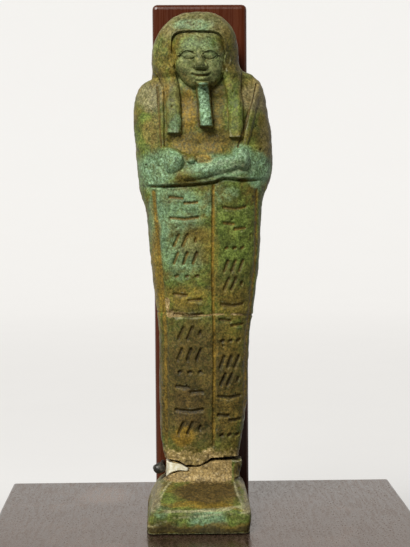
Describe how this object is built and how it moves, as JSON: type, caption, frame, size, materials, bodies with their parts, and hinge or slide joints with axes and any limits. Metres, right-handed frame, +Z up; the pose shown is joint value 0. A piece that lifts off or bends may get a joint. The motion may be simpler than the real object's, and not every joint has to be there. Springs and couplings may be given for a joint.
{
  "type": "ushabti figurine on display stand",
  "caption": "Mummiform faience funerary figurine with wig, false beard, crossed arms and incised text panel, mended at shin and ankle, standing on a wooden block against an upright board.",
  "frame": {"origin": "centre of the base block's underside", "axes": "+Z up, the figure faces -Y, +X to the viewer's right"},
  "size_m": [0.138, 0.12, 0.1993],
  "materials": {
    "faience": "worn satin glaze, green to turquoise with ochre earth in the hollows",
    "plaster": "matte white repair plaster",
    "mahogany": "dark red-brown varnish",
    "lacquered_wood": "dark satin lacquer",
    "patinated_metal": "dark patina"
  },
  "bodies": {
    "root": {"ushabti_figure": "faience", "ankle_fill": "plaster", "back_board": "mahogany", "base_block": "lacquered_wood", "ankle_peg": "patinated_metal"}
  },
  "joints": []
}
